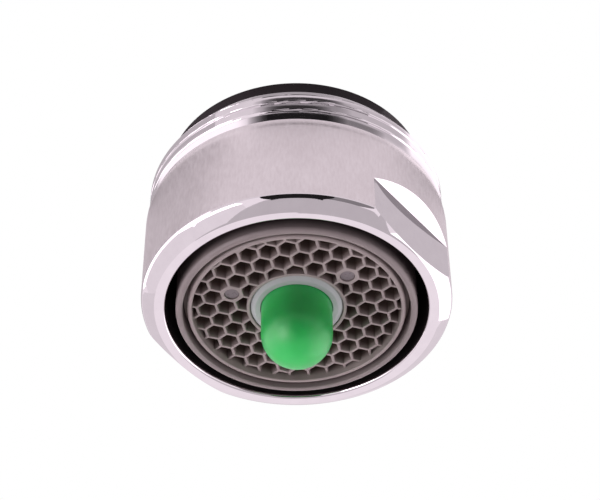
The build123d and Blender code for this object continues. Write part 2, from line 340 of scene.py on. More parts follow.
def dress(piece, body, slot, node, *materials):
    """Gives a piece its materials and its body, and hides the solid that it stands for. The slot is not
    used.
    """
    piece.data.materials.clear()
    for material in materials:
        piece.data.materials.append(material)
    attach(piece, body)
    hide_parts(node)


# Material helpers

# Most of a noise's values lie between these two
NOISE_LOW = 0.3
NOISE_HIGH = 0.7

# Moulded plastic: how far each colour of light seeps through it, how much its roughness
# varies, and the stretch of depth around a given height in which its painted shade sets in
glow_reach = 1.5 * MM
glow_colours = (0.2, 1.0, 0.4)
roughness_spread = 0.05
painted_shade_before = 0.5 * MM
painted_shade_after = 1.1 * MM


class Nodes:
    """A new material and short ways to add its nodes."""

    def __init__(self, name):
        self.material = bpy.data.materials.new(name)
        self.material.use_nodes = True
        self.tree = self.material.node_tree
        self.shader = self.tree.nodes["Principled BSDF"]
        self.place = self.add("ShaderNodeTexCoord").outputs["Object"]

    def add(self, kind, **settings):
        node = self.tree.nodes.new(kind)
        for key, value in settings.items():
            setattr(node, key, value)
        return node

    def link(self, source, target):
        self.tree.links.new(source, target)

    def set(self, **values):
        """Sets the shader's own sockets, with _ for each space in a socket's name."""
        for key, value in values.items():
            self.shader.inputs[key.replace("_", " ")].default_value = value

    def noise(self, per_mm, detail, stretch=(1, 1, 1)):
        """Noise with so many features a millimetre, stretched along the axes."""
        mapping = self.add("ShaderNodeMapping")
        mapping.inputs["Scale"].default_value = [per_mm * share / MM for share in stretch]
        self.link(self.place, mapping.inputs["Vector"])
        texture = self.add("ShaderNodeTexNoise")
        texture.inputs["Scale"].default_value = 1.0
        texture.inputs["Detail"].default_value = detail
        self.link(mapping.outputs["Vector"], texture.inputs["Vector"])
        return texture.outputs["Fac"]

    def blend(self, first, second, share):
        """Two noises in one, with the given share of the first."""
        rest = self.add("ShaderNodeMath", operation="MULTIPLY")
        rest.inputs[1].default_value = 1 - share
        self.link(second, rest.inputs[0])
        mixed = self.add("ShaderNodeMath", operation="MULTIPLY_ADD")
        mixed.inputs[1].default_value = share
        self.link(first, mixed.inputs[0])
        self.link(rest.outputs[0], mixed.inputs[2])
        return mixed.outputs[0]

    def tones(self, factor, low, high):
        """Turns noise into a colour between two tones."""
        ramp = self.add("ShaderNodeValToRGB")
        ramp.color_ramp.elements[0].position = NOISE_LOW
        ramp.color_ramp.elements[0].color = (*low, 1)
        ramp.color_ramp.elements[1].position = NOISE_HIGH
        ramp.color_ramp.elements[1].color = (*high, 1)
        self.link(factor, ramp.inputs["Fac"])
        return ramp.outputs["Color"]

    def with_painted_shade(self, colour, foot, top, tint):
        """Painted shade: darkens a colour little by little between two heights, as a recess falls into
        shade.
        """
        height = self.add("ShaderNodeSeparateXYZ")
        self.link(self.place, height.inputs["Vector"])
        depth = self.add("ShaderNodeMapRange")
        depth.inputs["From Min"].default_value = foot
        depth.inputs["From Max"].default_value = top
        self.link(height.outputs["Z"], depth.inputs["Value"])
        # Painted shade: the colour is multiplied towards the darker tint with depth
        product = self.add("ShaderNodeVectorMath", operation="MULTIPLY")
        self.link(colour, product.inputs[0])
        self.link(self.tones(depth.outputs["Result"], (1, 1, 1), tint), product.inputs[1])
        return product.outputs["Vector"]

    def paint(self, colour):
        """Gives the shader its colour."""
        self.link(colour, self.shader.inputs["Base Color"])

    def roughen(self, factor, low, high):
        """Lets noise vary the shader's roughness between low and high."""
        ranged = self.add("ShaderNodeMapRange")
        ranged.inputs["From Min"].default_value = NOISE_LOW
        ranged.inputs["From Max"].default_value = NOISE_HIGH
        ranged.inputs["To Min"].default_value = low
        ranged.inputs["To Max"].default_value = high
        self.link(factor, ranged.inputs["Value"])
        self.link(ranged.outputs["Result"], self.shader.inputs["Roughness"])

    def bump(self, factor, depth):
        """Bump of the given depth in metres."""
        bump = self.add("ShaderNodeBump")
        bump.inputs["Strength"].default_value = 1.0
        bump.inputs["Distance"].default_value = depth
        self.link(factor, bump.inputs["Height"])
        self.link(bump.outputs["Normal"], self.shader.inputs["Normal"])


def shade(tone, share):
    """A tone made lighter or darker."""
    return tuple(min(1.0, channel * share) for channel in tone)


# Materials

def chrome():
    """Polished chrome plate: faint haze, and a slow waviness from the polishing wheel."""
    nodes = Nodes("polished_chrome")
    nodes.set(Metallic=1.0)
    haze = nodes.noise(per_mm=0.9, detail=4)
    nodes.paint(nodes.tones(haze, low=(0.93, 0.90, 0.925), high=(0.97, 0.945, 0.965)))
    nodes.roughen(haze, low=0.02, high=0.05)
    nodes.bump(nodes.noise(per_mm=1.4, detail=2), depth=0.0006 * MM)
    return nodes.material


def satin_chrome():
    """Chrome over brushed brass: fine grain along the axis, soft grey tone."""
    nodes = Nodes("satin_chrome")
    nodes.set(Metallic=1.0, Anisotropic=0.35)
    grain = nodes.noise(per_mm=5, detail=3, stretch=(1, 1, 0.3))
    clouds = nodes.noise(per_mm=0.35, detail=3)
    mixed = nodes.blend(grain, clouds, share=0.65)
    nodes.paint(nodes.tones(mixed, low=(0.84, 0.79, 0.80), high=(0.97, 0.93, 0.94)))
    nodes.roughen(grain, low=0.32, high=0.42)
    nodes.bump(grain, depth=0.003 * MM)
    return nodes.material


def painted_shade_bore():
    """The bore's inside, painted nearly black as painted shade of the deep gap round the insert, with
    turning marks.
    """
    nodes = Nodes("bore_painted_shade_plating")
    nodes.set(Metallic=0.6)
    marks = nodes.noise(per_mm=3, detail=3, stretch=(0.3, 0.3, 2))
    nodes.paint(nodes.tones(marks, low=(0.008, 0.007, 0.007), high=(0.02, 0.018, 0.018)))
    nodes.roughen(marks, low=0.5, high=0.7)
    nodes.bump(marks, depth=0.002 * MM)
    return nodes.material


def rubber():
    """Black rubber: matt, with a fine powdery grain."""
    nodes = Nodes("black_rubber")
    nodes.set(Specular_IOR_Level=0.35)
    powder = nodes.noise(per_mm=5, detail=4)
    nodes.paint(nodes.tones(powder, low=(0.008, 0.004, 0.006), high=(0.018, 0.009, 0.014)))
    nodes.roughen(powder, low=0.5, high=0.68)
    nodes.bump(powder, depth=0.004 * MM)
    return nodes.material


def steel():
    """Drawn stainless wire and rod: lines along the length, a cool grey."""
    nodes = Nodes("stainless_steel")
    nodes.set(Metallic=1.0)
    lines = nodes.noise(per_mm=8, detail=2, stretch=(1, 1, 0.15))
    nodes.paint(nodes.tones(lines, low=(0.50, 0.49, 0.48), high=(0.62, 0.61, 0.60)))
    nodes.roughen(lines, low=0.2, high=0.34)
    nodes.bump(lines, depth=0.001 * MM)
    return nodes.material


def moulded(name, tone, roughness, grain_depth=0.0015 * MM, variation=0.06, sheen=0.5, glow=0.0,
            painted_shade_from=None, painted_shade_tint=None):
    """Moulded plastic: faint clouds of tone, the mould's fine grain, and light that seeps through it.

    A painted shade darkens it inside its recesses, from the given height on.
    """
    nodes = Nodes(name)
    nodes.set(Specular_IOR_Level=sheen, Subsurface_Weight=glow)
    nodes.set(Subsurface_Scale=glow_reach, Subsurface_Radius=glow_colours)
    clouds = nodes.noise(per_mm=0.5, detail=3)
    colour = nodes.tones(clouds, low=shade(tone, 1 - variation), high=shade(tone, 1 + variation))
    if painted_shade_tint:
        colour = nodes.with_painted_shade(colour, painted_shade_from - painted_shade_before, painted_shade_from + painted_shade_after, painted_shade_tint)
    nodes.paint(colour)
    grain = nodes.noise(per_mm=6, detail=2)
    nodes.roughen(grain, low=roughness - roughness_spread, high=roughness + roughness_spread)
    nodes.bump(grain, grain_depth)
    return nodes.material


polished = chrome()
satin = satin_chrome()
painted_shade_plating = painted_shade_bore()
black_rubber = rubber()
bright_steel = steel()
# Painted shade: the honeycomb's cells darken with depth behind its front, the casing's wall with depth
# into the gap
warm_grey = moulded("warm_grey_plastic", (0.33, 0.284, 0.274), roughness=0.38,
                    painted_shade_from=honeycomb_front, painted_shade_tint=(0.44, 0.38, 0.34))
casing_grey = moulded("casing_grey_plastic", (0.255, 0.22, 0.215), roughness=0.38,
                      painted_shade_from=casing_shade_from, painted_shade_tint=(0.3, 0.26, 0.27))
light_grey = moulded("light_grey_plastic", (0.42, 0.455, 0.45), roughness=0.36)
green = moulded("green_plastic", (0.022, 0.56, 0.112), roughness=0.34, grain_depth=0.005 * MM,
                variation=0.05, sheen=0.7, glow=0.7)
white = moulded("white_plastic", (0.60, 0.59, 0.56), roughness=0.4)
post_grey = moulded("post_grey_plastic", (0.17, 0.145, 0.155), roughness=0.3)


# Housing

def thread_reach(height, angle):
    """Radius of the thread's surface: wide crests, with a narrow groove that starts at the neck."""
    turn = height / thread_pitch - angle / (2 * pi) - thread_groove_turn
    off_groove = abs(turn - round(turn)) * thread_pitch
    if height < thread_foot or off_groove > thread_groove_width / 2:
        return thread_radius
    run_in = min(1.0, (height - thread_foot) / thread_run_in)
    return thread_radius - thread_groove_depth * run_in * cos(pi * off_groove / thread_groove_width) ** 2


def housing_shape(radius, height, angle):
    """The thread winds round the rows above the shoulder; all other rows are plain rings."""
    inside = radius < thread_radius - HAIR
    if inside or height <= shoulder_top + HAIR or height > housing_top - HAIR:
        return radius
    above = max(0.0, height - (housing_top - thread_lead_in))
    lead_in = thread_radius - above * thread_lead_in_depth / thread_lead_in
    return min(lead_in, thread_reach(height, angle))


def shoulder_line():
    """The rounded shoulder from the band up to the neck, in rows fine enough for the satin's edge."""
    rise = shoulder_top - shoulder_foot
    inward = band_radius - thread_radius
    curve = (rise * rise + inward * inward) / (2 * inward)
    sweep = 2 * atan2(inward, rise)
    line = []
    for step in range(CURVE_STEPS + 1):
        turn = sweep * step / CURVE_STEPS
        line.append((band_radius - curve * (1 - cos(turn)), shoulder_foot + curve * sin(turn)))
    return line


def housing_line():
    """Section of the housing: bore, lip, chamfer, band, shoulder, thread and the insert's pocket."""
    outside = rounded([
        (bore_radius, flange_seat),
        (bore_radius, outlet_rim + bore_painted_shade_from),
        (bore_radius, outlet_rim, lip_rounding),
        (lip_radius, outlet_rim, lip_outer_rounding),
        (band_radius, band_foot, band_foot_rounding),
        (band_radius, shoulder_foot),
    ], closed=False)
    rows = round((housing_top - shoulder_top) / thread_row)
    height_step = (housing_top - shoulder_top) / rows
    thread = [(thread_radius, shoulder_top + height_step * row) for row in range(1, rows)]
    top = [(thread_radius - thread_lead_in_depth, housing_top)]
    pocket = [(pocket_radius, housing_top), (pocket_radius, flange_seat)]
    return outside[:-1] + shoulder_line() + thread + top + pocket


def cut_flats(piece):
    """Two spanner flats, open at the outlet and running out in a slope at the top."""
    rise = flat_runout * tan(flat_runout_angle)
    cut_foot = outlet_rim - flat_cut_below
    flat_top = outlet_rim + flat_height
    cutter = bmesh.new()
    for side in (-1, 1):
        near = side * flat_distance
        far = side * (flat_distance + flat_runout)
        outline = [
            Vector((near, 0, cut_foot)),
            Vector((near, 0, flat_top)),
            Vector((far, 0, flat_top + rise)),
            Vector((far, 0, cut_foot)),
        ]
        add_prism(cutter, outline, Vector(), Vector((0, 1, 0)), 2 * band_radius)
    cut_away(piece, finish_mesh("flat_cutter", cutter))


def satin_edge(angle):
    """Upper edge of the satin finish, which dips a little on one side."""
    share = (angle - satin_dip_from) / (satin_dip_to - satin_dip_from)
    share = min(1.0, max(0.0, share))
    return shoulder_top - satin_dip * share * share * (3 - 2 * share)


def paint_housing(mesh):
    """Satin finish on the band and its shoulder, painted shade in the bore, polish everywhere else."""
    polish_index, satin_index, painted_shade_index = range(3)
    for face in mesh.polygons:
        middle = face.center
        reach = hypot(middle.x, middle.y)
        if reach > thread_radius and satin_foot < middle.z < satin_edge(atan2(middle.y, middle.x)):
            on_flat = abs(middle.x) < flat_distance + paint_margin and abs(face.normal.x) > flat_facing
            face.material_index = polish_index if on_flat else satin_index
        # Painted shade: the bore's faces above the polished rim get the near-black plating
        elif reach < bore_radius + paint_margin and middle.z > outlet_rim + bore_painted_shade_from:
            face.material_index = painted_shade_index


def make_housing():
    """Threaded, chromed body with two spanner flats."""
    piece = revolved("housing_body", housing_line(), shape=housing_shape)
    cut_flats(piece)
    dress(piece, "aerator", "chrome_brass", "housing", polished, satin, painted_shade_plating)
    paint_housing(piece.data)


# Washer, casing, bushing and button: turned forms with softened edges

def make_washer():
    """Thick rubber ring with a round hole."""
    line = rounded([
        (washer_bore_radius, flange_top, washer_foot_rounding),
        (washer_radius, flange_top, washer_foot_rounding),
        (washer_radius, washer_top, washer_top_rounding),
        (washer_bore_radius, washer_top, washer_top_rounding),
    ])
    dress(revolved("sealing_ring", line), "aerator", "black_rubber", "sealing_washer", black_rubber)


def make_casing():
    """Sleeve with a flange, a shelf for the jet plate and a row of air slots."""
    line = rounded([
        (mouth_radius, casing_foot, mouth_rounding),
        (casing_radius, casing_foot, casing_rounding),
        (casing_radius, flange_seat),
        (flange_radius, flange_seat, flange_rounding),
        (flange_radius, flange_top, flange_rounding),
        (strainer_rim_radius, flange_top),
        (strainer_rim_radius, strainer_seat),
        (sleeve_radius, strainer_seat),
        (sleeve_radius, jet_plate_foot),
        (sleeve_radius - shelf_width, jet_plate_foot, shelf_rounding),
        (sleeve_radius - shelf_width, jet_plate_foot - shelf_width),
        (sleeve_radius, jet_plate_foot - 2 * shelf_width),
        (sleeve_radius, shoulder_ring_top),
        (mouth_radius, shoulder_ring_top),
    ])
    piece = revolved("casing_sleeve", line)
    slot_middle = top_of("upper_grid") + air_slot_height / 2
    upward = Vector((0, 0, air_slot_height / 2))
    cutter = bmesh.new()
    for index in range(air_slot_count):
        angle = 2 * pi * index / air_slot_count
        outward = heading(angle).to_3d()
        across = Vector((-sin(angle), cos(angle), 0)) * air_slot_width / 2
        outline = [across + upward, upward - across, -across - upward, across - upward]
        middle = outward * (sleeve_radius + casing_radius) / 2 + Vector((0, 0, slot_middle))
        add_prism(cutter, outline, middle, outward, air_slot_cut)
    cut_away(piece, finish_mesh("slot_cutter", cutter))
    dress(piece, "aerator", "warm_grey_plastic", "insert_casing", casing_grey)


def make_bushing():
    """Sleeve with a bevelled nose, a flange on the honeycomb and a wider bore for the collar."""
    flange_foot = honeycomb_top
    flange_head = flange_foot + bushing_flange_height
    line = rounded([
        (guide_radius, bushing_foot, bushing_bore_rounding),
        (bushing_radius - bushing_edge_width, bushing_foot, bushing_nose_rounding),
        (bushing_radius, bushing_foot + bushing_edge_height, bushing_edge_rounding),
        (bushing_radius, flange_foot),
        (bushing_flange_radius, flange_foot, bushing_rounding),
        (bushing_flange_radius, flange_head, bushing_rounding),
        (bushing_radius, flange_head),
        (bushing_radius, bushing_top, bushing_rounding),
        (collar_bore_radius, bushing_top),
        (collar_bore_radius, bushing_step),
        (guide_radius, bushing_step),
    ])
    dress(revolved("button_guide", line), "aerator", "light_grey_plastic", "guide_bushing", light_grey)


def make_button():
    """Round-nosed plunger with a collar, and a hole for the valve's stem."""
    nose_middle = button_tip + button_radius
    line = []
    for step in range(CURVE_STEPS + 1):
        turn = pi / 2 * step / CURVE_STEPS
        line.append((button_radius * sin(turn), nose_middle - button_radius * cos(turn)))
    line += rounded([
        (button_radius, nose_middle),
        (button_radius, button_collar_foot),
        (button_collar_radius, button_collar_foot, button_collar_rounding),
        (button_collar_radius, button_top, button_collar_rounding),
        (stem_bore_radius, button_top),
        (stem_bore_radius, stem_foot),
        (0, stem_foot),
    ], closed=False)[1:]
    dress(revolved("green_button", line, closed=False), "plunger", "green_plastic", "push_button", green)


# Honeycomb outlet

def boss_centres():
    """Centres of the bosses, in the places of three cells."""
    centres = []
    for index in range(boss_count):
        angle = cell_turn + pi / 2 + 2 * pi * index / boss_count
        centres.append(heading(angle) * boss_circle_radius)
    return centres


def cell_centres(bosses):
    """Centres of the honeycomb's cells between hub and rim, without those that the bosses take."""
    reach = 2 * (int(field_radius / cell_pitch) + 2)
    across = heading(cell_turn) * cell_pitch
    along = heading(cell_turn + pi / 3) * cell_pitch
    centres = []
    for first in range(-reach, reach + 1):
        for second in range(-reach, reach + 1):
            centre = across * first + along * second
            near_boss = any((centre - boss).length < cell_pitch / 2 for boss in bosses)
            in_field = hub_radius - cell_pitch < centre.length < field_radius + cell_pitch
            if in_field and not near_boss:
                centres.append(centre)
    return centres


def crossings(start, along, radius):
    """Shares of the way along an edge at which it crosses a circle round the axis."""
    square = along.dot(along)
    middle = -start.dot(along) / square
    reach = middle * middle - (start.dot(start) - radius * radius) / square
    if reach <= 0:
        return []
    return [share for share in (middle - sqrt(reach), middle + sqrt(reach)) if 0 < share < 1]


def arc(first, last):
    """Points between two points of a circle round the axis, along the shorter way."""
    start = atan2(first.y, first.x)
    turn = atan2(last.y, last.x) - start
    turn -= round(turn / (2 * pi)) * 2 * pi
    steps = max(1, round(abs(turn) * first.length / cell_arc_step))
    angles = [start + turn * step / steps for step in range(1, steps)]
    return [heading(angle) * first.length for angle in angles]


def cell_outline(centre):
    """A hexagon, cut off by the rim or by the hub where it runs into them."""
    corner_radius = (cell_pitch - cell_wall) / sqrt(3)
    corners = []
    for index in range(6):
        angle = cell_turn + pi / 6 + pi / 3 * index
        corners.append(centre + heading(angle) * corner_radius)
    at_rim = centre.length > (hub_radius + field_radius) / 2
    radius = field_radius + cut_overlap if at_rim else hub_radius - cut_overlap
    chain = []
    for index, corner in enumerate(corners):
        along = corners[(index + 1) % 6] - corner
        if (corner.length < radius) == at_rim:
            chain.append((corner, False))
        for share in crossings(corner, along, radius):
            point = corner + along * share
            chain.append((point, (point.dot(along) > 0) == at_rim))
    outline = []
    for index, (point, leaves) in enumerate(chain):
        outline.append(point)
        if leaves:
            outline += arc(point, chain[(index + 1) % len(chain)][0])
    return outline


def outline_area(outline):
    """Area inside an outline that runs anticlockwise."""
    total = 0
    for here, after in zip(outline, outline[1:] + outline[:1]):
        total += here.x * after.y - here.y * after.x
    return total / 2


def pressed(points, overlap):
    """The points moved so that they run no further than the overlap into the hub and the rim."""
    inner = hub_radius - overlap
    outer = field_radius + overlap
    moved = []
    for point in points:
        reach = min(outer, max(inner, point.length))
        moved.append(point * (reach / point.length))
    return moved


def grown(outline, amount):
    """The outline moved outward by the given amount, within the hub and the rim."""
    moved = []
    count = len(outline)
    for index, point in enumerate(outline):
        before = (point - outline[index - 1]).normalized()
        after = (outline[(index + 1) % count] - point).normalized()
        normal = Vector((before.y + after.y, -before.x - after.x)).normalized()
        spread = max(least_corner_spread, normal.dot(Vector((before.y, -before.x))))
        moved.append(point + normal * (amount / spread))
    return pressed(moved, edge_overlap)


def circle(radius, segments, centre=(0, 0)):
    """Points of a circle."""
    middle = Vector(centre)
    return [middle + heading(2 * pi * index / segments) * radius for index in range(segments)]


def add_plate(builder, holes, height):
    """A flat ring that ends inside the hub and the rim, with the given holes."""
    plate_radius = field_radius + plate_overlap
    plate_bore_radius = hub_radius - plate_overlap
    rings = [circle(plate_radius, SEGMENTS), circle(plate_bore_radius, SEGMENTS)]
    points = []
    loops = []
    for loop in rings + holes:
        start = len(points)
        points += [point / MM for point in loop]
        loops.append(list(range(start, len(points))))
    edges = []
    for loop in loops[:2]:
        edges += list(zip(loop, loop[1:] + loop[:1]))
    flat, _, faces, _, _, holes_of_faces = delaunay_2d_cdt(points, edges, loops[2:], 0, plate_merge_mm)
    vertices = [builder.verts.new((point.x * MM, point.y * MM, height)) for point in flat]
    for corners, in_holes in zip(faces, holes_of_faces):
        middle = sum((flat[corner] for corner in corners), Vector((0, 0))) / len(corners)
        if in_holes or not plate_bore_radius < middle.length * MM < plate_radius:
            continue
        builder.faces.new([vertices[corner] for corner in corners])


def add_wall(builder, outline, edge):
    """The wall of one hole, which rounds off and widens by the edge's amount towards the front."""
    layers = []
    for step in range(cell_edge_steps + 1):
        turn = pi / 2 * step / cell_edge_steps
        ring = grown(outline, edge * (1 - sin(turn)))
        layers.append((ring, honeycomb_front + cell_edge_depth * (1 - cos(turn))))
    layers.append((outline, honeycomb_top))
    rings = []
    for ring, height in layers:
        rings.append([builder.verts.new((point.x, point.y, height)) for point in ring])
    join_rings(builder, rings)


def outlet_holes():
    """Outlines of the cells and of the bosses' holes, each with the width of its rounded edge.

    Slivers of cells that rim and hub cut off are left out.
    """
    bosses = boss_centres()
    holes = []
    for centre in cell_centres(bosses):
        outline = cell_outline(centre)
        if len(outline) > 3 and outline_area(outline) > least_cell_area:
            holes.append((outline, cell_edge))
    for boss in bosses:
        holes.append((circle(boss_hole_radius, boss_segments, boss), boss_edge))
    return holes


def make_honeycomb():
    """Raised rim, hub, and the field of cells between them."""
    rim_line = rounded([
        (field_radius, honeycomb_top),
        (field_radius, rim_foot, rim_inner_rounding),
        (rim_radius, rim_foot, rim_rounding),
        (rim_radius, shoulder_ring_foot),
        (shoulder_ring_radius, shoulder_ring_foot),
        (shoulder_ring_radius, shoulder_ring_top),
        (stack_radius, shoulder_ring_top),
        (stack_radius, honeycomb_top),
    ])
    hub_line = rounded([
        (hub_radius, honeycomb_top),
        (hub_radius, hub_front, hub_rounding),
        (hub_bore_radius, hub_front, hub_bore_rounding),
        (hub_bore_radius, honeycomb_top),
    ])
    holes = outlet_holes()
    builder = bmesh.new()
    add_revolved(builder, rim_line)
    add_revolved(builder, hub_line)
    for reach in (field_radius + plate_overlap, hub_radius - plate_overlap):
        add_revolved(builder, [(reach, honeycomb_front), (reach, honeycomb_top)], closed=False)
    add_plate(builder, [grown(outline, edge) for outline, edge in holes], honeycomb_front)
    add_plate(builder, [outline for outline, edge in holes], honeycomb_top)
    for outline, edge in holes:
        add_wall(builder, outline, edge)
    bmesh.ops.remove_doubles(builder, verts=builder.verts, dist=weld_distance)
    piece = finish_mesh("honeycomb_grille", builder)
    dress(piece, "aerator", "warm_grey_plastic", "honeycomb_outlet", warm_grey)


# Inner pieces

def make_spring():
    """Round wire wound between the valve disc and the cage's cap."""
    length = spring_top - spring_foot
    rise = length - 2 * spring_wire_radius
    builder = bmesh.new()
    rings = []
    for step in range(spring_steps + 1):
        outward = heading(2 * pi * spring_turns * step / spring_steps).to_3d()
        middle = outward * spring_coil_radius
        middle.z = spring_foot + spring_wire_radius + rise * step / spring_steps
        ring = []
        for index in range(spring_wire_segments):
            turn = 2 * pi * index / spring_wire_segments
            offset = outward * cos(turn) + Vector((0, 0, sin(turn)))
            ring.append(builder.verts.new(middle + offset * spring_wire_radius))
        rings.append(ring)
    join_rings(builder, rings)
    builder.faces.new(rings[0])
    builder.faces.new(rings[-1])
    piece = finish_mesh("spring_coil", builder)
    dress(piece, "aerator", "stainless_steel", "return_spring", bright_steel)
    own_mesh(piece)


def make_o_ring():
    """Rubber ring of round section."""
    low = foot_of("regulator_o_ring")
    section = (top_of("regulator_o_ring") - low) / 2
    middle = radius_of("regulator_o_ring") - section
    line = []
    for step in range(CURVE_STEPS):
        turn = 2 * pi * step / CURVE_STEPS
        line.append((middle + section * cos(turn), low + section + section * sin(turn)))
    dress(revolved("flow_o_ring", line), "aerator", "black_rubber", "regulator_o_ring", black_rubber)


def finish_node(node, material):
    """Gives a solid that stays in view its material and softly broken edges."""
    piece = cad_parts[node]
    if piece.data.materials:
        for index in range(len(piece.data.materials)):
            piece.data.materials[index] = material
    else:
        piece.data.materials.append(material)
    bevel = piece.modifiers.new("broken_edges", "BEVEL")
    bevel.width = inner_edge_width
    bevel.segments = inner_edge_segments
    bevel.limit_method = "ANGLE"
    bevel.angle_limit = inner_edge_angle


node_materials = {
    "lower_grid": post_grey,
    "middle_grid": white,
    "upper_grid": white,
    "jet_plate": white,
    "regulator_body": white,
    "valve_stem": bright_steel,
    "valve_disc": white,
    "valve_seal": black_rubber,
    "spring_cage": white,
    "inlet_strainer": white,
}

make_housing()
make_washer()
make_casing()
make_honeycomb()
make_bushing()
make_button()
make_spring()
make_o_ring()
for node_name, node_material in node_materials.items():
    finish_node(node_name, node_material)


# Camera at the photograph's angle, taken from the outlines of the rim, band and washer

view_azimuth = radians(37.7)
view_elevation = radians(-44.21)
view_roll = radians(-0.54)
view_distance = 139.03 * MM
view_shift_right = 0.253 * MM
view_shift_up = 4.744 * MM
view_height = -9.97 * MM
view_lens = 107.58
view_sensor_width = 36
view_clip_start = 5 * MM


def make_camera():
    """Camera that looks up at the outlet."""
    back = Vector((0, -cos(view_elevation), sin(view_elevation)))
    right = Vector((1, 0, 0))
    up = back.cross(right)
    roll = Matrix.Rotation(view_roll, 3, back)
    turn = Matrix.Rotation(view_azimuth, 3, "Z")
    right = turn @ roll @ right
    up = turn @ roll @ up
    back = turn @ back
    place = Vector((0, 0, view_height))
    place += right * view_shift_right + up * view_shift_up + back * view_distance
    data = bpy.data.cameras.new("photo_camera")
    data.lens = view_lens
    data.sensor_width = view_sensor_width
    data.clip_start = view_clip_start
    camera = bpy.data.objects.new("photo_camera", data)
    axes = Matrix((right, up, back)).transposed().to_4x4()
    camera.matrix_world = Matrix.Translation(place) @ axes
    bpy.context.scene.collection.objects.link(camera)
    bpy.context.scene.camera = camera


# Studio: a light tent of glowing panels round the object. Angles are in degrees, the
# azimuth from the camera's right towards its far side, the elevation up from the horizon.

tent_tone = (1.0, 0.90, 0.965)
panel_step = 8
least_panel_steps = 4
tent_panels = [
    # name, azimuth from and to, elevation from and to, distance, brightness
    ("tent_upper", -180, 180, 0, 90, 0.335, 0.70),
    ("tent_lower", -180, 180, -90, 0, 0.335, 0.84),
    ("below_left", -270, -90, -90, -59, 0.332, 0.49),
    ("below_right", -90, 90, -90, -51, 0.332, 0.49),
    ("back_low", 45, 140, -8, 25, 0.330, 0.80),
    ("back_left", 112, 142, -30, 4, 0.328, 0.67),
    ("back_right", 52, 85, -8, 20, 0.328, 0.71),
    ("left_floor", 140, 225, -59, -18, 0.330, 0.75),
    ("left_dim", 110, 205, 18, 55, 0.325, 0.47),
    ("left_low", 145, 215, -18, 18, 0.325, 1.6),
    ("left_edge", -172, -140, -45, -18, 0.325, 1.6),
    ("left_lamp", -155, -128, -42, -15, 0.315, 4.0),
    ("right_low", -3, 52, -51, 8, 0.325, 1.6),
    ("right_dim", -20, 10, 8, 30, 0.325, 0.28),
    ("flat_dim", 4, 26, 34, 60, 0.325, 0.56),
    ("behind", 64, 116, 30, 60, 0.325, 0.4),
    ("dark_room", -112, -66, -60, 6, 0.320, 0.012),
    ("dim_room", -66, -40, -50, 6, 0.320, 0.22),
]

# Lamps that light the plastics and don't show in the chrome, in the same columns
plastic_lamps = [
    ("below_lamp", -180, 180, -90, -63, 0.310, 0.8),
    ("back_lamp", 20, 160, -80, -50, 0.312, 3.3),
    ("left_fill", 160, 210, -50, -5, 0.310, 3.0),
    ("right_fill", -20, 20, -50, -5, 0.310, 2.2),
    ("front_fill", -150, -30, -50, -10, 0.310, 0.22),
]

# Cards that lie round the washer's top and show only in the polished neck and thread. Each is
# named by the part of the wall that mirrors it: angles in degrees, heights in millimetres.
# They fade out towards their edges, over so many rows and columns of their points.

card_height = washer_top + 0.1 * MM
card_lift = 0.02 * MM
card_step = 2
card_rows = 12
least_card_columns = 12
card_fade_rows = 2
card_fade_columns = 4
wall_cards = [
    # name, angle from and to, height from and to, brightness
    ("black_front", -108, -70, -1.2, -0.1, 0.012),
    ("dark_front", -102, -76, -0.15, 0.65, 0.03),
    ("dark_line", -103, -71, 1.0, 1.55, 0.04),
    ("grey_front", -106, -68, -0.15, 1.5, 0.28),
    ("dim_right", -80, -54, -1.1, -0.35, 0.20),
    ("pale_right", -78, -40, -1.1, 1.75, 0.50),
    ("white_right", -48, -12, -1.25, 3.4, 1.15),
    ("white_left", -158, -107, -1.45, 0.05, 1.15),
    ("dim_left", -165, -112, -3.6, -1.45, 0.12),
    ("dim_far_right", -52, 8, -3.6, -1.25, 0.3),
]

# Cards close round the washer, which the thread's lead-in mirrors: angles in degrees
ring_card_gap = 0.02 * MM
ring_card_width = 0.9 * MM
ring_cards = [
    # name, angle from and to, brightness
    ("ring_front", -110, -72, 0.37),
    ("ring_right", -72, -47, 0.43),
    ("ring_white", -47, -14, 1.15),
    ("ring_left", -200, -110, 0.47),
]

# Floor and surroundings
floor_radius = 3.0
floor_height = -0.8
floor_segments = 96
floor_tone = (0.9, 0.89, 0.9)
floor_roughness = 0.9
paper_white = (1, 1, 1)
room_glow = 0.05


def between(low, high, share):
    """The value at a share of the way from low to high."""
    return low + (high - low) * share


def card_share(row, rows, column, columns):
    """How solid a card is at one of its points."""
    from_end = min(row, rows - row) / card_fade_rows
    from_side = min(column, columns - column) / card_fade_columns
    return 1 - (1 - min(1.0, from_end, from_side)) ** 2


def glowing(name, brightness, fades):
    """Light in the tent's tone, thinned out by the mesh's solid attribute where it fades."""
    material = bpy.data.materials.new(name)
    material.use_nodes = True
    nodes = material.node_tree.nodes
    links = material.node_tree.links
    nodes.remove(nodes["Principled BSDF"])
    glow = nodes.new("ShaderNodeEmission")
    glow.inputs["Color"].default_value = (*tent_tone, 1)
    glow.inputs["Strength"].default_value = brightness
    surface = glow
    if fades:
        solid = nodes.new("ShaderNodeAttribute")
        solid.attribute_name = "solid"
        clear = nodes.new("ShaderNodeBsdfTransparent")
        surface = nodes.new("ShaderNodeMixShader")
        links.new(solid.outputs["Fac"], surface.inputs[0])
        links.new(clear.outputs[0], surface.inputs[1])
        links.new(glow.outputs[0], surface.inputs[2])
    links.new(surface.outputs[0], nodes["Material Output"].inputs["Surface"])
    return material


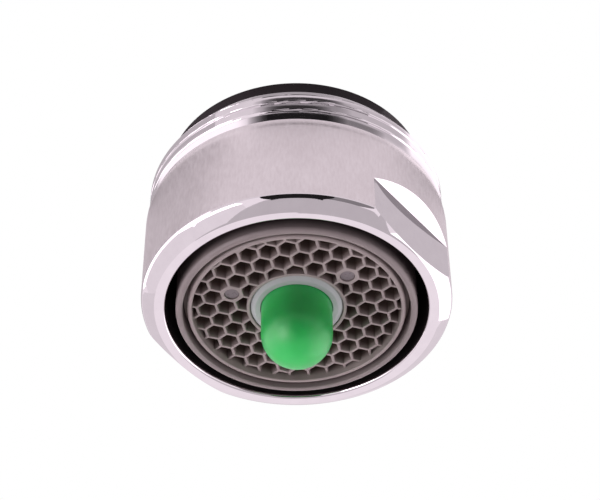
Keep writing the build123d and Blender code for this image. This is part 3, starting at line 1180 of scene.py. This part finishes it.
def glowing_sheet(name, rows, columns, place, brightness, fades=False):
    """A glowing sheet of the stage, seen in reflections and not by the camera.

    place gives the point at a share of the way along the rows and along the columns.
    """
    builder = bmesh.new()
    grid = []
    shares = []
    for row in range(rows + 1):
        line = []
        for column in range(columns + 1):
            line.append(builder.verts.new(place(row / rows, column / columns)))
            shares.append(card_share(row, rows, column, columns))
        grid.append(line)
    for lower, upper in zip(grid, grid[1:]):
        for index in range(columns):
            builder.faces.new((lower[index], lower[index + 1], upper[index + 1], upper[index]))
    mesh = bpy.data.meshes.new(name)
    builder.to_mesh(mesh)
    builder.free()
    if fades:
        mesh.attributes.new("solid", "FLOAT", "POINT").data.foreach_set("value", shares)
    mesh.materials.append(glowing(name, brightness, fades))
    sheet = bpy.data.objects.new(name, mesh)
    sheet.visible_camera = False
    sheet.visible_shadow = False
    bpy.context.scene.collection.objects.link(sheet)
    return sheet


def tent_panel(name, azimuth_from, azimuth_to, elevation_from, elevation_to, distance, brightness):
    """A curved panel of the tent."""
    rows = max(least_panel_steps, round((elevation_to - elevation_from) / panel_step))
    columns = max(least_panel_steps, round((azimuth_to - azimuth_from) / panel_step))

    def place(up, across):
        elevation = radians(between(elevation_from, elevation_to, up))
        azimuth = radians(between(azimuth_from, azimuth_to, across)) + view_azimuth
        outward = heading(azimuth).to_3d() * cos(elevation)
        outward.z = sin(elevation)
        return outward * distance

    return glowing_sheet(name, rows, columns, place, brightness)


def mirrored(eye, angle, height):
    """The place at the cards' level that the neck's wall mirrors to the eye."""
    outward = heading(angle).to_3d()
    wall = outward * thread_radius + Vector((0, 0, height))
    ray = (wall - eye).normalized()
    ray -= outward * (2 * ray.dot(outward))
    return wall + ray * ((card_height - height) / ray.z)


def wall_card(name, angle_from, angle_to, height_from, height_to, brightness, lift):
    """A flat card where the wall mirrors it to the camera, seen by shiny surfaces alone."""
    eye = bpy.context.scene.camera.matrix_world.translation
    columns = max(least_card_columns, round((angle_to - angle_from) / card_step))

    def place(up, across):
        height = between(height_from, height_to, up) * MM
        angle = radians(between(angle_from, angle_to, across)) + view_azimuth
        return mirrored(eye, angle, height) + Vector((0, 0, lift))

    sheet = glowing_sheet(name, card_rows, columns, place, brightness, fades=True)
    sheet.visible_diffuse = False


def ring_card(name, angle_from, angle_to, brightness):
    """A narrow card round the washer's top edge, seen by shiny surfaces alone."""
    columns = round((angle_to - angle_from) / card_step)

    def place(out, across):
        reach = washer_radius + between(ring_card_gap, ring_card_width, out)
        angle = radians(between(angle_from, angle_to, across)) + view_azimuth
        return (reach * cos(angle), reach * sin(angle), washer_top)

    sheet = glowing_sheet(name, 1, columns, place, brightness)
    sheet.visible_diffuse = False


def white_to_view(tree, strong, weak, target):
    """Shows the strong shader to the camera and to mirrors, and the weak one to the rest."""
    path = tree.nodes.new("ShaderNodeLightPath")
    seen = path.outputs["Is Camera Ray"]
    for ray in ("Is Glossy Ray", "Is Transmission Ray"):
        either = tree.nodes.new("ShaderNodeMath")
        either.operation = "MAXIMUM"
        tree.links.new(seen, either.inputs[0])
        tree.links.new(path.outputs[ray], either.inputs[1])
        seen = either.outputs[0]
    mix = tree.nodes.new("ShaderNodeMixShader")
    tree.links.new(seen, mix.inputs[0])
    tree.links.new(weak.outputs[0], mix.inputs[1])
    tree.links.new(strong.outputs[0], mix.inputs[2])
    tree.links.new(mix.outputs[0], target)


def make_world():
    """White to the camera and to mirrors, a faint glow to the rest."""
    world = bpy.data.worlds.new("studio")
    bpy.context.scene.world = world
    world.use_nodes = True
    tree = world.node_tree
    soft = tree.nodes["Background"]
    soft.inputs["Color"].default_value = (*tent_tone, 1)
    soft.inputs["Strength"].default_value = room_glow
    paper = tree.nodes.new("ShaderNodeBackground")
    paper.inputs["Color"].default_value = (*paper_white, 1)
    paper.inputs["Strength"].default_value = 1.0
    white_to_view(tree, paper, soft, tree.nodes["World Output"].inputs["Surface"])


def make_floor():
    """A pale floor far below, clear of the camera."""
    builder = bmesh.new()
    bmesh.ops.create_circle(builder, cap_ends=True, segments=floor_segments, radius=floor_radius)
    mesh = bpy.data.meshes.new("floor")
    builder.to_mesh(mesh)
    builder.free()
    floor = bpy.data.objects.new("floor", mesh)
    floor.location.z = floor_height
    material = bpy.data.materials.new("pale_floor")
    material.use_nodes = True
    tree = material.node_tree
    matt = tree.nodes["Principled BSDF"]
    matt.inputs["Base Color"].default_value = (*floor_tone, 1)
    matt.inputs["Roughness"].default_value = floor_roughness
    glow = tree.nodes.new("ShaderNodeEmission")
    glow.inputs["Color"].default_value = (*paper_white, 1)
    glow.inputs["Strength"].default_value = 1.0
    white_to_view(tree, glow, matt, tree.nodes["Material Output"].inputs["Surface"])
    mesh.materials.append(material)
    bpy.context.scene.collection.objects.link(floor)


make_camera()
make_world()
make_floor()
for panel_values in tent_panels:
    tent_panel(*panel_values).visible_diffuse = False
for panel_values in plastic_lamps:
    tent_panel(*panel_values).visible_glossy = False
for card_values in ring_cards:
    ring_card(*card_values)
for index, card_values in enumerate(wall_cards):
    wall_card(*card_values, lift=card_lift * index)

bpy.context.scene.view_settings.view_transform = "Standard"
